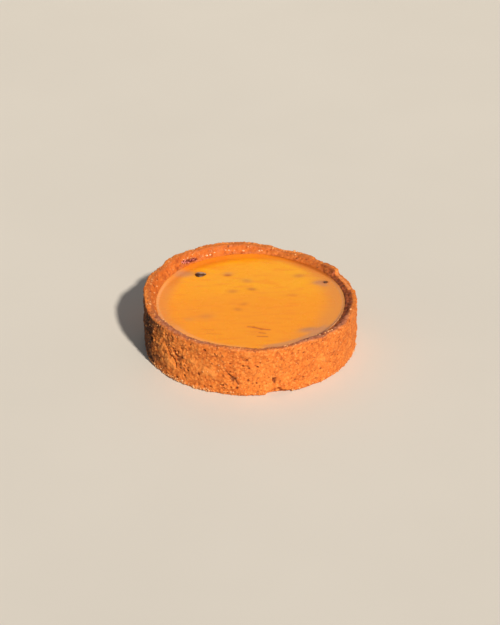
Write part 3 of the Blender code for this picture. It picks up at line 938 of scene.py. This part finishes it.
class Nodes:
    """A short way to add and join the nodes of one material."""

    def __init__(self, name):
        self.material = bpy.data.materials.new(name)
        self.material.use_nodes = True
        self.tree = self.material.node_tree
        self.shader = self.tree.nodes["Principled BSDF"]
        self.place = self.add("ShaderNodeTexCoord").outputs["Object"]

    def add(self, kind, inputs=None, **settings):
        """A new node with these settings, and plain values or sockets for its inputs."""
        node = self.tree.nodes.new(kind)
        for key, value in settings.items():
            setattr(node, key, value)
        for key, value in (inputs or {}).items():
            self.put(node.inputs[key], value)
        return node

    def put(self, socket, value):
        """Joins a socket to another socket, or gives it a plain value. None leaves it as it is."""
        if isinstance(value, bpy.types.NodeSocket):
            self.tree.links.new(value, socket)
        elif value is not None:
            socket.default_value = value

    def noise(self, scale, detail=3.0, roughness=0.55, stretched=None):
        """Value of a noise texture, its scale in cycles for each metre."""
        place = self.place
        if stretched:
            place = self.add("ShaderNodeMapping", {"Vector": place, "Scale": stretched}).outputs["Vector"]
        inputs = {"Vector": place, "Scale": scale, "Detail": detail, "Roughness": roughness}
        return self.add("ShaderNodeTexNoise", inputs).outputs["Fac"]

    def voronoi(self, scale):
        """Distance in a cell texture, its scale in cells for each metre."""
        return self.add("ShaderNodeTexVoronoi", {"Vector": self.place, "Scale": scale}).outputs["Distance"]

    def attribute(self, name):
        """The number that paint stored on the mesh under this name."""
        return self.add("ShaderNodeAttribute", attribute_name=name).outputs["Fac"]

    def share(self, name, most):
        """The number that paint stored under this name, times the most that it counts for."""
        return self.math("MULTIPLY", self.attribute(name), most)

    def ramp(self, value, low, high, bottom=0.0, top=1.0):
        """Value spread from bottom to top as it goes from low to high."""
        inputs = {"Value": value, "From Min": low, "From Max": high, "To Min": bottom, "To Max": top}
        return self.add("ShaderNodeMapRange", inputs, interpolation_type="SMOOTHSTEP").outputs["Result"]

    def math(self, operation, *values):
        """The result of one sum with these values or sockets."""
        node = self.add("ShaderNodeMath", operation=operation)
        for socket, value in zip(node.inputs, values):
            self.put(socket, value)
        return node.outputs[0]

    def mix(self, factor, first, second):
        """Colour that goes from first to second as factor goes from 0 to 1."""
        inputs = {"Factor": factor}
        for key, colour in (("A", first), ("B", second)):
            inputs[key] = colour if isinstance(colour, bpy.types.NodeSocket) else (*colour, 1.0)
        node = self.add("ShaderNodeMix", inputs, data_type="RGBA")
        return next(socket for socket in node.outputs if socket.type == "RGBA")

    def bump(self, height, strength, distance, normal=None):
        """Normal of a relief of this distance in metres, on top of another normal."""
        inputs = {"Height": height, "Strength": strength, "Distance": distance, "Normal": normal}
        return self.add("ShaderNodeBump", inputs).outputs["Normal"]

    def finish(self, colour, rough, normal=None, others=None):
        """Fills in the shader and hands over the material."""
        inputs = {"Base Color": colour, "Roughness": rough, "Normal": normal, **(others or {})}
        for key, value in inputs.items():
            self.put(self.shader.inputs[key], value)
        return self.material


def crust_material():
    """Golden shortcrust: grains of lighter and darker crumb, painted shade in the pores and on the left
    side, painted highlights on raised crumb, browned inside the rim and darker there at the right as painted
    shade.
    """
    m = Nodes("crust")
    colour = m.mix(m.ramp(m.noise(420.0, 4.0, 0.6), 0.36, 0.64), DEEP_GOLD, GOLD)
    colour = m.mix(m.ramp(m.noise(95.0, 2.0), 0.4, 0.66, 0.0, 0.55), colour, PALE_GOLD)
    unevenness = m.math("MULTIPLY_ADD", m.attribute("crags"), 0.9, 1.0)
    grains = m.math("MULTIPLY", m.ramp(m.noise(1300.0, 2.0, 0.5), 0.52, 0.66, 0.0, 0.65), unevenness)
    colour = m.mix(grains, colour, LIGHT_GRAIN)
    specks = m.math("MULTIPLY", m.ramp(m.noise(950.0, 3.0, 0.6), 0.34, 0.45, 0.7, 0.0), unevenness)
    colour = m.mix(specks, colour, DARK_GRAIN)
    # Painted shade in the hollows and painted highlights on the raised lumps
    depth = m.attribute("depth")
    colour = m.mix(m.ramp(depth, 0.05, 0.8, 0.0, 0.88), colour, PAINTED_PORE_SHADE)
    colour = m.mix(m.ramp(depth, -0.1, -0.7, 0.0, 0.6), colour, PAINTED_CRUMB_HIGHLIGHT)
    # Painted shade on the side at the left, nearly black in patches
    side_shade_patches = m.ramp(m.noise(900.0, 3.0, 0.6), 0.44, 0.6, 1.0, 0.75)
    painted_side_shade = m.math("MULTIPLY", m.attribute("painted_side_shade"), side_shade_patches)
    colour = m.mix(m.math("MULTIPLY", painted_side_shade, 0.97), colour, PAINTED_SHADE_BLACK)
    blots = m.ramp(m.noise(540.0, 3.0, 0.6), 0.36, 0.52, 0.75, 0.0)
    colour = m.mix(m.share("inner", 0.65), colour, m.mix(blots, BAKED, BAKED_BLOT))
    browner = m.ramp(m.attribute("far"), 0.0, 1.0, 0.62, 0.36)
    colour = m.mix(m.math("MULTIPLY", m.attribute("inner_top"), browner), colour, RIM_BROWN)
    mottling = m.ramp(m.noise(760.0, 3.0, 0.6), 0.42, 0.6)
    glints = m.ramp(m.noise(1100.0, 2.0), 0.52, 0.6)
    for name, most, tint in (
        # Dusky rim top with a pinkish painted sky sheen
        ("dusky", 0.8, m.mix(mottling, DUSK, DUSK_SHEEN)),
        # Browned inside the rim at the right, and darker there as painted shade
        ("browned_and_shaded", 0.86, m.mix(mottling, SHADED_DARK_BROWN, SHADED_PALE_BROWN)),
        ("broken", 0.7, BROKEN_CRUST),
        ("specks", 0.85, SPECK_BROWN),
        ("scorch", 0.94, m.mix(glints, CHARRED, CHARRED_GLINT)),
    ):
        colour = m.mix(m.share(name, most), colour, tint)

    moist = m.math("MAXIMUM", m.attribute("top"), m.attribute("scorch"))
    moist = m.math("MAXIMUM", m.share("inner", 0.7), moist)
    wet = m.math("MULTIPLY", m.ramp(m.noise(620.0, 3.0), 0.44, 0.6), moist)
    rough = m.math("SUBTRACT", 0.86, m.math("MULTIPLY", wet, 0.45))
    fine = m.bump(m.noise(2600.0, 3.0, 0.6), 0.45, 0.18 * MM)
    normal = m.bump(m.voronoi(1500.0), 0.35, 0.16 * MM, fine)
    return m.finish(colour, rough, normal, {"Specular IOR Level": 0.35})


def custard_material():
    """Set custard: glossy and a little translucent, with dark seeds that show dimly through its skin."""
    m = Nodes("custard")
    # Painted sunlight: lighter towards the back
    colour = m.mix(m.attribute("back"), CUSTARD_YELLOW, SUNLIT_CUSTARD)
    colour = m.mix(m.ramp(m.noise(70.0, 3.0), 0.35, 0.65, 0.0, 0.4), colour, DULL_CUSTARD)
    streaks = m.noise(1.0, 3.0, 0.5, (110.0, 620.0, 110.0))
    colour = m.mix(m.ramp(streaks, 0.48, 0.68, 0.0, 0.45), colour, CUSTARD_STREAK)
    for name, most, tint in CUSTARD_LAYERS:
        colour = m.mix(m.share(name, most), colour, tint)
    for name, whole, most, tint in CUSTARD_MARKS:
        colour = m.mix(m.ramp(m.attribute(name), 0.0, whole, 0.0, most), colour, tint)
    rough = m.ramp(m.noise(160.0, 4.0), 0.3, 0.7, 0.2, 0.32)
    normal = m.bump(m.noise(520.0, 3.0), 0.12, 0.08 * MM, m.bump(streaks, 0.25, 0.08 * MM))
    others = {
        "Specular IOR Level": 0.28,
        "Subsurface Weight": 0.15,
        "Subsurface Radius": (1.0, 0.45, 0.12),
        "Subsurface Scale": 1.6 * MM,
    }
    return m.finish(colour, rough, normal, others)


def seed_material():
    """Nearly black fruit seed, glossy under a coat of custard, with a painted sheen on its top and back."""
    m = Nodes("seed")
    colour = m.mix(m.ramp(m.noise(900.0, 3.0), 0.4, 0.62), SEED_BLACK, SEED_BROWN)
    # Painted sheen on the seed's top and back, over its coat of custard
    streak = m.math("ADD", m.attribute("painted_sheen"), m.ramp(m.noise(600.0, 2.0), 0.3, 0.7, -0.25, 0.25))
    colour = m.mix(m.ramp(streak, 0.55, 1.05, 0.0, 0.95), colour, SEED_FILM_SHEEN)
    rough = m.ramp(m.noise(1500.0, 2.0), 0.35, 0.65, 0.42, 0.58)
    return m.finish(colour, rough, m.bump(m.voronoi(2200.0), 0.35, 0.12 * MM))


def juice_material():
    """Clear thick juice over pastry: wet and shining, and pale as a painted glint."""
    m = Nodes("juice")
    colour = m.mix(m.ramp(m.noise(800.0, 2.0), 0.35, 0.65), JUICE, JUICE_GLINT)
    rough = m.ramp(m.noise(1400.0, 2.0), 0.3, 0.7, 0.06, 0.16)
    return m.finish(colour, rough, m.bump(m.noise(2500.0, 2.0), 0.2, 0.08 * MM))


def crumb_material():
    """Loose baked crumb, paler than the side it fell from."""
    m = Nodes("crumb")
    colour = m.mix(m.ramp(m.noise(700.0, 2.0), 0.35, 0.65), CRUMB_GOLD, PALE_CRUMB)
    rough = m.ramp(m.noise(1800.0, 2.0), 0.3, 0.7, 0.75, 0.95)
    return m.finish(colour, rough, m.bump(m.noise(4200.0, 3.0), 0.5, 0.12 * MM))


def floor_material():
    """Pale matt surface."""
    m = Nodes("floor")
    colour = m.mix(m.ramp(m.noise(6.0, 3.0), 0.3, 0.7), FLOOR_GREY, PALE_FLOOR_GREY)
    return m.finish(colour, m.ramp(m.noise(40.0, 3.0), 0.3, 0.7, 0.7, 0.8))


# Floor, light and camera


def add_camera():
    """The camera stands where the photograph was taken from."""
    data = bpy.data.cameras.new("camera")
    data.sensor_fit = "VERTICAL"
    data.sensor_height = SENSOR_HEIGHT
    data.lens = CAMERA_LENS
    data.clip_start = 0.02
    data.clip_end = 20.0
    camera = bpy.data.objects.new("camera", data)
    elevation = math.radians(CAMERA_ELEVATION)
    camera.location = (0.0, -CAMERA_DISTANCE * math.cos(elevation), CAMERA_DISTANCE * math.sin(elevation))
    aim = (CAMERA_TARGET - camera.location).to_track_quat("-Z", "Y").to_matrix()
    camera.rotation_euler = (aim @ Matrix.Rotation(math.radians(CAMERA_ROLL), 3, "Z")).to_euler()
    bpy.context.scene.collection.objects.link(camera)
    bpy.context.scene.camera = camera


def add_light(name, kind, azimuth, elevation, distance, energy, colour, size):
    """A light in a direction from the tart that faces it. The size of a sun is in degrees."""
    data = bpy.data.lights.new(name, kind)
    data.energy = energy
    data.color = colour
    if kind == "SUN":
        data.angle = math.radians(size)
    else:
        data.shape = "DISK"
        data.size = size
    light = bpy.data.objects.new(name, data)
    flat, up = math.radians(azimuth), math.radians(elevation)
    way = Vector((math.cos(up) * math.cos(flat), math.cos(up) * math.sin(flat), math.sin(up)))
    light.location = way * distance
    light.rotation_euler = way.to_track_quat("Z", "Y").to_euler()
    bpy.context.scene.collection.objects.link(light)


def add_surroundings():
    """Pale floor, a soft low key from the front right, and an even pale surround."""
    corners = [(x * FLOOR_HALF, y * FLOOR_HALF, 0.0) for x, y in ((-1, -1), (1, -1), (1, 1), (-1, 1))]
    floor = mesh_object("floor", np.array(corners), [(0, 1, 2, 3)])
    floor.location.z = -FLOOR_DROP
    floor.data.materials.append(floor_material())

    world = bpy.data.worlds.new("surround")
    world.use_nodes = True
    background = world.node_tree.nodes["Background"]
    background.inputs["Color"].default_value = (*SURROUND_COLOUR, 1.0)
    background.inputs["Strength"].default_value = SURROUND_STRENGTH
    bpy.context.scene.world = world
    for light in LIGHTS:
        add_light(*light)
    bpy.context.scene.view_settings.view_transform = "Standard"


def dress(piece, material, node=None):
    """Gives a piece its material and its place on the body, and hides the imported part it stands for."""
    piece.data.materials.append(material)
    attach(piece, "root")
    if node:
        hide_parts(node)


def main():
    """Builds and dresses every piece, then the floor, the lights and the camera."""
    case = build_case()
    dress(build_crumbs(case), crumb_material())
    dress(case, crust_material(), "pastry_case")
    dress(build_custard(), custard_material(), "custard_filling")
    dress(build_seeds(), seed_material())
    dress(build_glint_beads(case), juice_material())
    add_surroundings()
    add_camera()


main()
